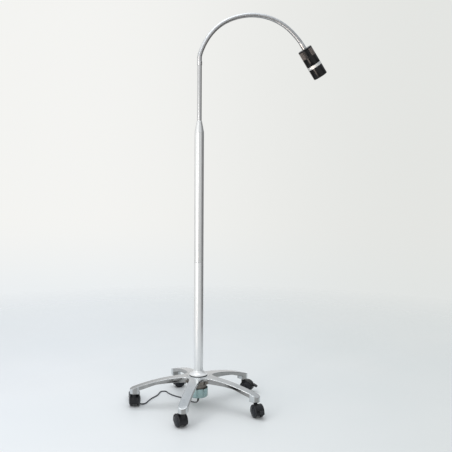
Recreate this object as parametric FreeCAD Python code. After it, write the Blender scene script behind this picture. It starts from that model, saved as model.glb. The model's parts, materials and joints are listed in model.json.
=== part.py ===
import FreeCAD, Part
import math
import os

# A mobile examination light: a five-leg castor base, a two-piece column, a swivelling
# chrome arm, a gooseneck and a focusable lamp head. Millimetres, +Z up, the floor at z = 0
# and the column's axis at x = y = 0.

V = FreeCAD.Vector
UP = V(0, 0, 1)
ORIGIN = V(0, 0, 0)

# ---- driving dimensions -------------------------------------------------------------
LEGS = 5
FIRST_LEG_DEG = -102.8
STEM_CIRCLE_R = 278.0
SOCKET_R = 19.4
SOCKET_BOTTOM_Z = 61.0
HUB_TOP_Z = 134.0
HUB_R = 50.0
HUB_BOTTOM_Z = 99.0
HUB_BORE_R = 26.0

WHEEL_R = 25.0
TRAIL = 18.0
# the way each castor trails, in the order of the legs
CASTOR_TRAIL_DEG = [120.0, -68.0, -20.0, 10.0, 90.0]
BRAKED_CASTORS = [2, 3]
STEM_R = 5.5
AXLE_R = 3.0
RUNNING_GAP = 0.05

COLUMN_R = 20.0
COLUMN_WALL = 2.0
COLUMN_FOOT_Z = 64.0
SEAM_Z = 629.0
SEAM_GAP = 1.4
CONE_Z = 1184.0
CONE_TOP_Z = 1234.5
ARM_R = 9.5
ARM_FOOT_Z = 1150.0
FERRULE_Z = 1468.0
NECK_Z = 1485.0

CUP_R = 41.5
CUP_BOTTOM_Z = 40.0
CUP_TOP_Z = 80.2
NIPPLE_R = 6.5
THREAD_GAP = 0.1
CORD_EXIT_Z = 36.0

# the gooseneck: a chain of stiff links in one upright plane
NECK_R = 9.8
NECK_PLANE_DEG = 14.0
NECK_TURNS_DEG = [25.3, 17.8, 20.3, 15.8, 16.5, 18.0, 18.8, 12.6]
NECK_FIRST = 30.0
NECK_LINK = 80.0
NECK_LAST = 46.2
NECK_HALF_GAP = 3.2
BALL_R = 7.0

HEAD_R = 32.5
HEAD_LENGTH = 140.0
RING_Z = 79.6
RING_END_Z = 92.6

CORD_R = 2.5
# the cord's route from the strain relief to its hank, by hand
CORD_ROUTE = [
    (0, 0, 36), (0, 0, 15), (-12, 13, 5), (-31, 33, 2.5), (-54, 63, 2.5), (-79, 91, 2.5),
    (-101, 105, 2.5), (-123, 129, 2.5), (-140, 154, 2.5), (-149, 180, 2.5), (-173, 180, 2.5),
    (-180, 154, 2.5), (-187, 119, 2.5), (-203, 93, 2.5), (-216, 66, 2.5), (-225, 34, 2.5),
    (-232, 13, 2.5), (-242, 6.5, 2.5), (-253.2, 8.0, 2.5), (-260.85, 16.2, 2.5),
    (-262.5, 33, 2.5),
]
ARC_SHARE = 0.45
# the hank: its turns' straight run, its outer fold radius, its height and its place
HANK_STRAIGHT = 54.0
HANK_R = 23.3
HANK_HEIGHT = 25.4
HANK_X = -285.4
HANK_Y = 54.2
HANK_DEG = 95.6
TIE_X = 46.5
TIE_WIDTH = 7.5


# ---- helpers ------------------------------------------------------------------------
def save(name, shape):
    shape.exportStep("parts/%s.step" % name)


def vector(point):
    return V(*point)


def cylinder(radius, z0, z1, x=0.0, y=0.0):
    return Part.makeCylinder(radius, z1 - z0, V(x, y, z0), UP)


def cross_cylinder(radius, y0, y1, x, z):
    """A cylinder that lies along Y."""
    return Part.makeCylinder(radius, y1 - y0, V(x, y0, z), V(0, 1, 0))


def box(x0, x1, y0, y1, z0, z1):
    return Part.makeBox(x1 - x0, y1 - y0, z1 - z0, V(x0, y0, z0))


def tube(outer, inner, z0, z1):
    return cylinder(outer, z0, z1).cut(cylinder(inner, z0 - 1, z1 + 1))


def outline(edges):
    """A face from straight runs and arcs. Two points are a line, three are an arc."""
    made = []
    for points in edges:
        points = [vector(p) for p in points]
        if len(points) == 2:
            made.append(Part.LineSegment(*points).toShape())
        else:
            made.append(Part.Arc(*points).toShape())
    return Part.Face(Part.Wire(made))


def closed_polygon(points):
    points = [vector(p) for p in points]
    return Part.Face(Part.makePolygon(points + points[:1]))


def turned(points):
    """A solid of revolution about Z from (radius, z) points."""
    face = closed_polygon([(r, 0, z) for r, z in points])
    return face.revolve(ORIGIN, UP, 360)


def fuse(shapes):
    result = shapes[0]
    if len(shapes) > 1:
        result = result.multiFuse(shapes[1:])
    return result.removeSplitter()


def spun(shape, degrees):
    moved = shape.copy()
    moved.rotate(ORIGIN, UP, degrees)
    return moved


def leg_degrees(i):
    return FIRST_LEG_DEG + i * 360.0 / LEGS


def stem_place(i):
    a = math.radians(leg_degrees(i))
    return V(STEM_CIRCLE_R * math.cos(a), STEM_CIRCLE_R * math.sin(a), 0)


# ---- base ---------------------------------------------------------------------------
LEG_ROOT_R = 30.0
LEG_END_R = STEM_CIRCLE_R + SOCKET_R
STEM_BORE_TOP_Z = 82.0


def leg_flange():
    """The leg's wide top: its side view and its plan view, cut with each other."""
    inner = STEM_CIRCLE_R - SOCKET_R
    side = outline([
        ((LEG_ROOT_R, 0, 133.4), (165, 0, 119), (LEG_END_R, 0, 82)),
        ((LEG_END_R, 0, 82), (LEG_END_R, 0, SOCKET_BOTTOM_Z)),
        ((LEG_END_R, 0, SOCKET_BOTTOM_Z), (inner, 0, SOCKET_BOTTOM_Z)),
        ((inner, 0, SOCKET_BOTTOM_Z), (inner, 0, 77)),
        ((inner, 0, 77), (205, 0, 94)),
        ((205, 0, 94), (130, 0, 113), (LEG_ROOT_R, 0, 122)),
        ((LEG_ROOT_R, 0, 122), (LEG_ROOT_R, 0, 133.4)),
    ])
    side.translate(V(0, -40, 0))
    plan = outline([
        ((LEG_ROOT_R, -28, 50), (110, -21, 50)),
        ((110, -21, 50), (200, -SOCKET_R, 50)),
        ((200, -SOCKET_R, 50), (STEM_CIRCLE_R, -SOCKET_R, 50)),
        ((STEM_CIRCLE_R, -SOCKET_R, 50), (LEG_END_R, 0, 50), (STEM_CIRCLE_R, SOCKET_R, 50)),
        ((STEM_CIRCLE_R, SOCKET_R, 50), (200, SOCKET_R, 50)),
        ((200, SOCKET_R, 50), (110, 21, 50)),
        ((110, 21, 50), (LEG_ROOT_R, 28, 50)),
        ((LEG_ROOT_R, 28, 50), (LEG_ROOT_R, -28, 50)),
    ])
    return side.extrude(V(0, 80, 0)).common(plan.extrude(V(0, 0, 100)))


def leg_web():
    """The narrower web under the flange, deep at the hub and gone at two thirds."""
    half = 13.0
    side = outline([
        ((LEG_ROOT_R, -half, 126), (130, -half, 118), (222, -half, 96)),
        ((222, -half, 96), (222, -half, 92)),
        ((222, -half, 92), (150, -half, 102), (LEG_ROOT_R, -half, 101)),
        ((LEG_ROOT_R, -half, 101), (LEG_ROOT_R, -half, 126)),
    ])
    return side.extrude(V(0, 2 * half, 0))


def star_base():
    leg = leg_flange().fuse(leg_web())
    hub = cylinder(HUB_R, HUB_BOTTOM_Z, HUB_TOP_Z)
    star = fuse([hub] + [spun(leg, leg_degrees(i)) for i in range(LEGS)])
    star = star.cut(cylinder(HUB_BORE_R, 50, 150))
    for i in range(LEGS):
        place = stem_place(i)
        star = star.cut(cylinder(STEM_R, 50, STEM_BORE_TOP_Z, place.x, place.y))
    save("star_base", star)


def hub_parts():
    sleeve = turned([
        (6.6, 58), (33, 58), (34, 62), (35.5, HUB_BOTTOM_Z), (HUB_BORE_R, HUB_BOTTOM_Z),
        (HUB_BORE_R, HUB_TOP_Z), (COLUMN_R, HUB_TOP_Z), (COLUMN_R, COLUMN_FOOT_Z),
        (6.6, COLUMN_FOOT_Z),
    ])
    save("hub_sleeve", sleeve)
    save("collar_seal", tube(38.4, COLUMN_R, HUB_TOP_Z, HUB_TOP_Z + 2))
    base = HUB_TOP_Z + 2
    collar = outline([
        ((COLUMN_R, 0, base), (38.9, 0, base)),
        ((38.9, 0, base), (39.6, 0, base + 1.6), (38.9, 0, base + 3.2)),
        ((38.9, 0, base + 3.2), (27.5, 0, base + 9.2), (21.2, 0, base + 19)),
        ((21.2, 0, base + 19), (COLUMN_R, 0, base + 19)),
        ((COLUMN_R, 0, base + 19), (COLUMN_R, 0, base)),
    ])
    save("hub_collar", collar.revolve(ORIGIN, UP, 360))


def cup_parts():
    wall = 2.0
    cup = cylinder(CUP_R, CUP_BOTTOM_Z, CUP_TOP_Z)
    cup = cup.cut(cylinder(CUP_R - wall, CUP_BOTTOM_Z + wall, CUP_TOP_Z + 1))
    cup = cup.cut(cylinder(NIPPLE_R, CUP_BOTTOM_Z - 1, CUP_BOTTOM_Z + wall + 1))
    save("driver_cup", cup)
    save("power_driver", tube(37.5, 11.5, CUP_BOTTOM_Z + wall, 57.0))
    nipple = tube(NIPPLE_R, CORD_R + 0.1, CORD_EXIT_Z, 70.5)
    nut_bore = NIPPLE_R + THREAD_GAP
    spacer = tube(10.5, nut_bore, CUP_BOTTOM_Z + wall, 58.0)
    low_nut = hexagon(17.0, CORD_EXIT_Z, CUP_BOTTOM_Z).cut(cylinder(nut_bore, 30, 50))
    top_nut = hexagon(17.0, COLUMN_FOOT_Z, 69.0).cut(cylinder(nut_bore, 60, 75))
    save("cable_nipple", Part.makeCompound([nipple, spacer, low_nut, top_nut]))
    relief = turned([
        (CORD_R, 24.5), (3.3, 24.5), (5.4, 33), (5.4, CORD_EXIT_Z), (CORD_R, CORD_EXIT_Z),
    ])
    save("strain_relief", relief)


def hexagon(across_flats, z0, z1):
    radius = across_flats / math.sqrt(3)
    corners = []
    for i in range(6):
        a = math.radians(60 * i)
        corners.append((radius * math.cos(a), radius * math.sin(a), z0))
    return closed_polygon(corners).extrude(V(0, 0, z1 - z0))


# ---- castors ------------------------------------------------------------------------
# Drawn with the stem at x = 0 and the wheels trailing towards +X, then turned into place.
HOOD_OUTER_R = 29.2
HOOD_INNER_R = 26.2
HOOD_HALF_WIDTH = 19.0
CORE_HALF_WIDTH = 9.2
BOSS_R = 8.5
BOSS_TOP_Z = 57.0
PEDAL_X = 51.4
PEDAL_Z = 34.0
PEDAL_PIN_R = 1.5


def sector(outer, inner, half_width, start_deg, end_deg):
    """A piece of a ring about the wheel axis, between two angles above the trail."""
    def at(radius, degrees):
        a = math.radians(degrees)
        return (TRAIL + radius * math.cos(a), -half_width, WHEEL_R + radius * math.sin(a))

    middle = (start_deg + end_deg) / 2.0
    face = outline([
        (at(outer, start_deg), at(outer, middle), at(outer, end_deg)),
        (at(outer, end_deg), at(inner, end_deg)),
        (at(inner, end_deg), at(inner, middle), at(inner, start_deg)),
        (at(inner, start_deg), at(outer, start_deg)),
    ])
    return face.extrude(V(0, 2 * half_width, 0))


def hood(braked):
    core = cross_cylinder(22.5, -CORE_HALF_WIDTH, CORE_HALF_WIDTH, TRAIL, WHEEL_R)
    core = core.cut(box(-30, 60, -30, 30, -10, 12))
    pieces = [
        core,
        cylinder(BOSS_R, 22, BOSS_TOP_Z),
        sector(HOOD_OUTER_R, 15.0, CORE_HALF_WIDTH, -20, 108),
        sector(HOOD_OUTER_R, HOOD_INNER_R, HOOD_HALF_WIDTH, -20, 108),
        sector(HOOD_OUTER_R, 15.0, CORE_HALF_WIDTH, 106, 203),
        sector(HOOD_OUTER_R, HOOD_INNER_R, HOOD_HALF_WIDTH, 106, 203),
    ]
    if braked:
        pieces.append(box(43, 55, -10.4, -7.4, 29.5, 38.5))
        pieces.append(box(43, 55, 7.4, 10.4, 29.5, 38.5))
    shape = fuse(pieces)
    shape = shape.cut(cross_cylinder(AXLE_R, -30, 30, TRAIL, WHEEL_R))
    shape = shape.cut(cylinder(STEM_R + RUNNING_GAP, 29, BOSS_TOP_Z + 5))
    if braked:
        shape = shape.cut(cross_cylinder(PEDAL_PIN_R + RUNNING_GAP, -30, 30, PEDAL_X, PEDAL_Z))
    return shape


def wheel():
    """A domed disc with a slanted inner edge, for the +Y side."""
    bore = AXLE_R + RUNNING_GAP
    profile = outline([
        ((bore, 0, 9.7), (18.5, 0, 9.7)),
        ((18.5, 0, 9.7), (22.6, 0, 11.6), (WHEEL_R, 0, 15.5)),
        ((WHEEL_R, 0, 15.5), (WHEEL_R, 0, 18.2)),
        ((WHEEL_R, 0, 18.2), (16.5, 0, 23.2), (4.5, 0, 25.2)),
        ((4.5, 0, 25.2), (0, 0, 25.2)),
        ((0, 0, 25.2), (0, 0, 20.0)),
        ((0, 0, 20.0), (bore, 0, 20.0)),
        ((bore, 0, 20.0), (bore, 0, 9.7)),
    ])
    solid = profile.revolve(ORIGIN, UP, 360)
    solid.rotate(ORIGIN, V(1, 0, 0), -90)
    solid.translate(V(TRAIL, 0, WHEEL_R))
    return solid


def pedal():
    """A foot lever on its own pin, between the two lugs at the back of the hood."""
    barrel = cross_cylinder(3.8, -7.0, 7.0, PEDAL_X, PEDAL_Z)
    pin = cross_cylinder(PEDAL_PIN_R, -10.4, 10.4, PEDAL_X, PEDAL_Z)
    side = closed_polygon([
        (51, 0, 37.6), (58, 0, 36.5), (67.5, 0, 31), (67, 0, 26), (58, 0, 28.5), (53, 0, 31),
    ])
    neck = side.copy()
    neck.translate(V(0, -6.8, 0))
    neck = neck.extrude(V(0, 13.6, 0))
    tread = side.copy()
    tread.translate(V(0, -9, 0))
    tread = tread.extrude(V(0, 18, 0)).common(box(57, 70, -9, 9, 20, 45))
    return fuse([barrel, pin, neck, tread])


def castors():
    axle = cross_cylinder(AXLE_R, -19.5, 19.5, TRAIL, WHEEL_R)
    left = wheel()
    right = left.mirror(ORIGIN, V(0, 1, 0))
    stem = cylinder(STEM_R, 30.0, STEM_BORE_TOP_Z)
    stem = stem.fuse(cylinder(7.8, BOSS_TOP_Z + 0.4, SOCKET_BOTTOM_Z)).removeSplitter()
    stems = []
    for i in range(LEGS):
        number = i + 1

        def placed(shape):
            moved = spun(shape, CASTOR_TRAIL_DEG[i])
            moved.translate(stem_place(i))
            return moved

        braked = number in BRAKED_CASTORS
        save("castor_%d_hood" % number, placed(hood(braked)))
        save("castor_%d_axle" % number, placed(axle))
        save("castor_%d_wheel_left" % number, placed(left))
        save("castor_%d_wheel_right" % number, placed(right))
        stems.append(placed(stem))
        if braked:
            save("castor_%d_brake_pedal" % number, placed(pedal()))
    save("castor_stems", Part.makeCompound(stems))


# ---- column -------------------------------------------------------------------------
def column():
    inner = COLUMN_R - COLUMN_WALL
    upper_foot = SEAM_Z + SEAM_GAP
    save("lower_tube", tube(COLUMN_R, inner, COLUMN_FOOT_Z, SEAM_Z))
    save("upper_tube", tube(COLUMN_R, inner, upper_foot, CONE_Z))
    spigot = tube(inner, 15.0, SEAM_Z - 60, upper_foot + 60)
    spigot = spigot.fuse(tube(COLUMN_R - 0.5, 15.0, SEAM_Z, upper_foot)).removeSplitter()
    save("joint_spigot", spigot)
    bore = ARM_R + 0.4
    cone = turned([
        (bore, CONE_Z - 12), (inner, CONE_Z - 12), (inner, CONE_Z), (COLUMN_R, CONE_Z),
        (COLUMN_R, CONE_Z + 2), (ARM_R + 1.6, CONE_TOP_Z - 1.5), (ARM_R + 0.9, CONE_TOP_Z),
        (bore, CONE_TOP_Z),
    ])
    save("top_cone", cone)
    save("arm_bush", tube(inner, ARM_R + RUNNING_GAP, CONE_Z - 32, CONE_Z - 12))
    save("column_lead", cylinder(CORD_R, CORD_EXIT_Z, ARM_FOOT_Z - 12))


def arm():
    rod = tube(ARM_R, ARM_R - 1.5, ARM_FOOT_Z, FERRULE_Z + 12)
    stop = tube(13.0, ARM_R - 1.5, ARM_FOOT_Z - 6, CONE_Z - 32.5)
    save("arm_tube", rod.fuse(stop).removeSplitter())
    ferrule = turned([
        (ARM_R, FERRULE_Z), (ARM_R + 0.8, FERRULE_Z), (ARM_R + 1.3, FERRULE_Z + 1),
        (ARM_R + 1.3, NECK_Z - 1), (ARM_R + 0.8, NECK_Z), (5.0, NECK_Z),
        (5.0, FERRULE_Z + 12), (ARM_R, FERRULE_Z + 12),
    ])
    save("arm_ferrule", ferrule)


# ---- gooseneck ----------------------------------------------------------------------
def neck_chain():
    """The hinge points and the way each link points, as (point, direction) pairs."""
    plane = math.radians(NECK_PLANE_DEG)
    lengths = [NECK_LINK] * (len(NECK_TURNS_DEG) - 1) + [NECK_LAST]
    point = V(0, 0, NECK_Z + NECK_FIRST)
    lean = 0.0
    chain = []
    for turn, length in zip(NECK_TURNS_DEG, lengths):
        lean += math.radians(turn)
        flat = math.sin(lean)
        direction = V(flat * math.cos(plane), flat * math.sin(plane), math.cos(lean))
        chain.append((point, direction))
        point = point + direction * length
    chain.append((point, chain[-1][1]))
    return chain


def rod(start, direction, begin, end, radius):
    return Part.makeCylinder(radius, end - begin, start + direction * begin, direction)


def with_ball(shape, start, direction, face, end):
    """Adds the ball at a link's far end, centred on the next hinge."""
    ball = Part.makeSphere(BALL_R, start + direction * end)
    stalk = rod(start, direction, face - 1, end, 4.5)
    return shape.multiFuse([stalk, ball]).removeSplitter()


def with_socket(shape, hinge):
    return shape.cut(Part.makeSphere(BALL_R + RUNNING_GAP, hinge))


def gooseneck():
    chain = neck_chain()
    foot = V(0, 0, NECK_Z)
    face = NECK_FIRST - NECK_HALF_GAP
    root = rod(foot, UP, 0, face, NECK_R)
    save("neck_root", with_ball(root, foot, UP, face, NECK_FIRST))
    for i in range(len(chain) - 2):
        hinge, direction = chain[i]
        face = NECK_LINK - NECK_HALF_GAP
        link = with_socket(rod(hinge, direction, NECK_HALF_GAP, face, NECK_R), hinge)
        save("neck_link_%d" % (i + 1), with_ball(link, hinge, direction, face, NECK_LINK))
    hinge, direction = chain[-2]
    tip = rod(hinge, direction, NECK_HALF_GAP, NECK_LAST - 27, NECK_R)
    tip = tip.fuse(rod(hinge, direction, NECK_LAST - 27, NECK_LAST, NECK_R + 0.6))
    stud = rod(hinge, direction, NECK_LAST, NECK_LAST + 9, 5.0)
    save("head_ferrule", with_socket(fuse([tip, stud]), hinge))


# ---- lamp head ----------------------------------------------------------------------
# Drawn standing on its rear face, with the light shining towards +Z, then laid on the
# gooseneck's last direction. Local +Y points away from the inside of the bend's plane.
HEAD_WALL = 2.5
FIN_COUNT = 9
FIN_FIRST_Z = 8.0
FIN_PITCH = 3.2
SLEEVE_R = 28.5
LENS_R = 24.0
LENS_Z = 100.6
BUTTON_R = 6.0
BUTTON_Z = 50.0


def head_placement():
    plane = math.radians(NECK_PLANE_DEG)
    place, direction = neck_chain()[-1]
    normal = V(-math.sin(plane), math.cos(plane), 0)
    across = normal.cross(direction)
    return FreeCAD.Placement(FreeCAD.Matrix(
        across.x, normal.x, direction.x, place.x,
        across.y, normal.y, direction.y, place.y,
        across.z, normal.z, direction.z, place.z,
        0, 0, 0, 1,
    ))


def save_on_head(name, shape):
    moved = shape.copy()
    moved.Placement = head_placement().multiply(moved.Placement)
    save(name, moved)


def rear_housing():
    inner = HEAD_R - HEAD_WALL
    shell = outline([
        ((5.0, 0, 0), (HEAD_R - 4, 0, 0)),
        ((HEAD_R - 4, 0, 0), (HEAD_R - 1.2, 0, 1.2), (HEAD_R, 0, 4)),
        ((HEAD_R, 0, 4), (HEAD_R, 0, RING_Z)),
        ((HEAD_R, 0, RING_Z), (inner, 0, RING_Z)),
        ((inner, 0, RING_Z), (inner, 0, 5)),
        ((inner, 0, 5), (5.0, 0, 5)),
        ((5.0, 0, 5), (5.0, 0, 0)),
    ]).revolve(ORIGIN, UP, 360)
    for i in range(FIN_COUNT):
        z = FIN_FIRST_Z + i * FIN_PITCH
        shell = shell.cut(tube(HEAD_R + 1, HEAD_R - 1.2, z, z + 1.6))
    return shell.cut(cross_cylinder(BUTTON_R + 0.3, 0, 50, 0, BUTTON_Z))


def lamp_head():
    inner = HEAD_R - HEAD_WALL
    save_on_head("rear_housing", rear_housing())
    sink = cylinder(inner, 62, 70).fuse(cylinder(14, 40, 62)).removeSplitter()
    save_on_head("heat_sink", sink)
    board = cylinder(20, 70, 71.6)
    dome = Part.makeSphere(6.0, V(0, 0, 71.6)).common(cylinder(8, 71.6, 80))
    save_on_head("led_board", fuse([board, dome]))
    ring = tube(HEAD_R, SLEEVE_R + RUNNING_GAP, RING_Z, RING_END_Z)
    ring = ring.fuse(tube(inner, SLEEVE_R + RUNNING_GAP, RING_Z - 6, RING_Z))
    save_on_head("silver_ring", ring.removeSplitter())
    start = RING_END_Z + 0.4
    barrel = turned([
        (SLEEVE_R - 2, RING_Z - 4), (SLEEVE_R, RING_Z - 4), (SLEEVE_R, start), (HEAD_R, start),
        (HEAD_R, HEAD_LENGTH - 1.5), (HEAD_R - 1.5, HEAD_LENGTH), (27.5, HEAD_LENGTH),
        (25.0, 135), (SLEEVE_R - 2, 132),
    ])
    save_on_head("front_barrel", barrel)
    carrier = tube(SLEEVE_R - 2 - RUNNING_GAP, LENS_R, LENS_Z - 3, LENS_Z + 13)
    carrier = carrier.fuse(tube(SLEEVE_R - 2 - RUNNING_GAP, LENS_R - 2, LENS_Z - 3, LENS_Z))
    save_on_head("lens_carrier", carrier.removeSplitter())
    lens = outline([
        ((0, 0, 0), (LENS_R, 0, 0)),
        ((LENS_R, 0, 0), (LENS_R, 0, 3)),
        ((LENS_R, 0, 3), (13, 0, 9.6), (1.5, 0, 11.8)),
        ((1.5, 0, 11.8), (0, 0, 11.8)),
        ((0, 0, 11.8), (0, 0, 0)),
    ]).revolve(ORIGIN, UP, 360)
    lens.translate(V(0, 0, LENS_Z))
    save_on_head("lens", lens)
    button = cross_cylinder(BUTTON_R, inner - 3.0, HEAD_R + 2.0, 0, BUTTON_Z)
    save_on_head("power_button", button)


# ---- cord ---------------------------------------------------------------------------
def cord_wire(points):
    """Straight runs joined by tangent arcs, each as large as its two runs allow."""
    edges = []
    radii = []
    length = 0.0
    last = points[0]
    for before, corner, after in zip(points, points[1:], points[2:]):
        into = (corner - before).normalize()
        out = (after - corner).normalize()
        turn = into.getAngle(out)
        reach = ARC_SHARE * min((corner - before).Length, (after - corner).Length)
        radius = reach / math.tan(turn / 2)
        begin = corner - into * reach
        end = corner + out * reach
        inward = (out - into).normalize()
        middle = corner + inward * (radius / math.cos(turn / 2) - radius)
        edges.append(Part.LineSegment(last, begin).toShape())
        edges.append(Part.Arc(begin, middle, end).toShape())
        length += (begin - last).Length + radius * turn
        radii.append(round(radius, 1))
        last = end
    edges.append(Part.LineSegment(last, points[-1]).toShape())
    length += (points[-1] - last).Length
    return Part.Wire(edges), radii, length


def cord():
    points = [vector(p) for p in CORD_ROUTE]
    wire, radii, length = cord_wire(points)
    start = (points[1] - points[0]).normalize()
    profile = Part.Wire([Part.makeCircle(CORD_R, points[0], start)])
    solid = wire.makePipeShell([profile], True, False)
    section = math.pi * CORD_R ** 2
    print("cord radii", radii)
    print("cord length %.1f, volume over section times length %.4f"
          % (length, solid.Volume / (section * length)))
    save("cord_tube", solid)


def along_hank(shape):
    """Turns a shape drawn along +X from the origin into the hank's place on the floor."""
    moved = spun(shape, HANK_DEG)
    moved.translate(V(HANK_X, HANK_Y, 0))
    return moved


def hank_parts():
    """The hank's outer shape: round folds, and square where the cord comes in along its side."""
    r = HANK_R
    far = HANK_STRAIGHT + r
    diagonal = r / math.sqrt(2)
    plan = outline([
        ((-r, -r, 0), (HANK_STRAIGHT, -r, 0)),
        ((HANK_STRAIGHT, -r, 0), (far, 0, 0), (HANK_STRAIGHT, r, 0)),
        ((HANK_STRAIGHT, r, 0), (0, r, 0)),
        ((0, r, 0), (-diagonal, diagonal, 0), (-r, 0, 0)),
        ((-r, 0, 0), (-r, -r, 0)),
    ])
    hank = plan.extrude(V(0, 0, HANK_HEIGHT))
    save("cord_hank", along_hank(hank))
    tie = box(TIE_X, TIE_X + TIE_WIDTH, -r - 1.2, r + 1.2, 0, HANK_HEIGHT + 1.2)
    save("cord_tie", along_hank(tie.cut(hank)))


PLUG_LENGTH = 34.0
PLUG_WIDTH = 30.0
PLUG_HEIGHT = 13.0
PLUG_TAIL_WIDTH = 12.0
PLUG_SHOULDER = 12.0
PIN_LENGTH = 19.0
PIN_R = 2.0
PIN_PITCH = 18.6
PLUG_X = 8.0
PLUG_Y = -14.0
PLUG_TURN_DEG = 20.0


def plug():
    """A flat two-pin plug that lies slantwise on the hank."""
    tail = PLUG_TAIL_WIDTH / 2
    half = PLUG_WIDTH / 2
    body = closed_polygon([
        (0, -tail, 0), (PLUG_SHOULDER, -half, 0), (PLUG_LENGTH, -half, 0),
        (PLUG_LENGTH, half, 0), (PLUG_SHOULDER, half, 0), (0, tail, 0),
    ]).extrude(V(0, 0, PLUG_HEIGHT))
    pieces = [body]
    for side in (-1, 1):
        start = V(PLUG_LENGTH, side * PIN_PITCH / 2, PLUG_HEIGHT / 2)
        pieces.append(Part.makeCylinder(PIN_R, PIN_LENGTH, start, V(1, 0, 0)))
    shape = spun(fuse(pieces), PLUG_TURN_DEG)
    shape.translate(V(PLUG_X, PLUG_Y, HANK_HEIGHT))
    save("plug", along_hank(shape))


def main():
    os.makedirs("parts", exist_ok=True)
    star_base()
    hub_parts()
    cup_parts()
    castors()
    column()
    arm()
    gooseneck()
    lamp_head()
    cord()
    hank_parts()
    plug()


main()
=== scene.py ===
import json
import math
from contextlib import contextmanager

import bmesh
import bpy
import numpy as np
from mathutils import Matrix, Vector

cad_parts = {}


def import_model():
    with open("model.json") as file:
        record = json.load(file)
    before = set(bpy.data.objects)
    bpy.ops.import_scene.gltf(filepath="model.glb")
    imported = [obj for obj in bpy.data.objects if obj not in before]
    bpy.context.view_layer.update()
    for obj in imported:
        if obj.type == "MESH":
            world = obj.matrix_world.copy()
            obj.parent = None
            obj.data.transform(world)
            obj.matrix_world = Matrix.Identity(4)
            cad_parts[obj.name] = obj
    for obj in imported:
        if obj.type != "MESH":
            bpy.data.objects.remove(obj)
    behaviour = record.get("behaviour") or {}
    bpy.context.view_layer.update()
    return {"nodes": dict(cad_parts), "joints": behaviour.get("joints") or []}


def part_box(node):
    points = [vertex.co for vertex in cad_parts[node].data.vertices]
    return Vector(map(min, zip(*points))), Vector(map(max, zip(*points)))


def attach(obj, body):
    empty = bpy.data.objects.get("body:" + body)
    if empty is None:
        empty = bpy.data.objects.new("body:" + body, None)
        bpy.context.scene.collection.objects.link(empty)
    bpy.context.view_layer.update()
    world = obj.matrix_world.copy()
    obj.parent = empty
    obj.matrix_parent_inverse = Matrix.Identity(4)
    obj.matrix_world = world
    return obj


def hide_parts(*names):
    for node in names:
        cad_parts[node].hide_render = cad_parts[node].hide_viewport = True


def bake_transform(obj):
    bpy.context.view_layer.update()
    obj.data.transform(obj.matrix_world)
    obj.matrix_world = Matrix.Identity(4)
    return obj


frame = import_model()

# Looks of a mobile examination light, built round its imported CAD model. Lengths are
# written in millimetres and turned to metres where a mesh is made.

MM = 0.001
JOINTS = {joint["name"]: joint for joint in frame["joints"]}
NODES = frame["nodes"]


# ---- small helpers ----
def joint_place(name):
    """A joint's place in millimetres."""
    return Vector(JOINTS[name]["pos_m"]) / MM


def joint_axis(name):
    return Vector(JOINTS[name]["axis"]).normalized()


def heights(node):
    """The lowest and the highest Z of a CAD node, in millimetres."""
    return [corner.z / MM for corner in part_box(node)]


def eased(x):
    x = min(max(x, 0.0), 1.0)
    return x * x * (3 - 2 * x)


def polar(radius, degrees):
    a = math.radians(degrees)
    return radius * math.cos(a), radius * math.sin(a)


def softened(outline, reach, steps=3, closed=True):
    """The outline again, with each clear corner rounded, so that its edge catches light."""
    points = [Vector(p) for p in outline]
    count = len(points)
    made = []
    for i, corner in enumerate(points):
        before = points[i - 1] - corner
        after = points[(i + 1) % count] - corner
        at_end = not closed and i in (0, count - 1)
        if at_end or before.angle(after) > math.radians(160):
            made.append(tuple(corner))
            continue
        cut = min(reach, 0.45 * before.length, 0.45 * after.length)
        a = corner + before.normalized() * cut
        b = corner + after.normalized() * cut
        for k in range(steps + 1):
            t = k / steps
            made.append(tuple(a * (1 - t) ** 2 + corner * 2 * t * (1 - t) + b * t ** 2))
    return made


def arc_through(first, middle, last, steps):
    """Points on the circle through three points of a plane."""
    ax, ay = first
    bx, by = middle
    cx, cy = last
    d = 2 * (ax * (by - cy) + bx * (cy - ay) + cx * (ay - by))
    a2, b2, c2 = ax * ax + ay * ay, bx * bx + by * by, cx * cx + cy * cy
    x = (a2 * (by - cy) + b2 * (cy - ay) + c2 * (ay - by)) / d
    y = (a2 * (cx - bx) + b2 * (ax - cx) + c2 * (bx - ax)) / d
    radius = math.hypot(ax - x, ay - y)
    start = math.atan2(ay - y, ax - x)
    end = math.atan2(cy - y, cx - x)
    turn = (end - start + math.pi) % (2 * math.pi) - math.pi
    made = []
    for k in range(steps + 1):
        a = start + turn * k / steps
        made.append((x + radius * math.cos(a), y + radius * math.sin(a)))
    return made


def in_scene(name, data, place=None):
    """A new object in the scene, at a placement in metres if one is given."""
    obj = bpy.data.objects.new(name, data)
    bpy.context.scene.collection.objects.link(obj)
    if place is not None:
        obj.matrix_world = place
    return obj


@contextmanager
def edited(mesh):
    """Opens a mesh for editing and writes it back."""
    work = bmesh.new()
    work.from_mesh(mesh)
    yield work
    work.to_mesh(mesh)
    work.free()


def finish_mesh(mesh, sharp_deg):
    """Outward faces, shaded smooth, with only real corners sharp."""
    with edited(mesh) as work:
        bmesh.ops.recalc_face_normals(work, faces=work.faces)
    mesh.polygons.foreach_set("use_smooth", [True] * len(mesh.polygons))
    mesh.set_sharp_from_angle(angle=math.radians(sharp_deg))


def make(name, points, faces, materials, place=None, sharp_deg=38):
    """A mesh object from points in millimetres, moved by a placement in millimetres."""
    placed = [Vector(p) for p in points]
    if place is not None:
        placed = [place @ p for p in placed]
    mesh = bpy.data.meshes.new(name)
    mesh.from_pydata([tuple(p * MM) for p in placed], [], faces)
    mesh.validate()
    for material in materials:
        mesh.materials.append(material)
    finish_mesh(mesh, sharp_deg)
    return in_scene(name, mesh)


def mark(obj, name, values):
    """Stores one number per point, for a material to read."""
    layer = obj.data.attributes.new(name, "FLOAT", "POINT")
    layer.data.foreach_set("value", values)


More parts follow.
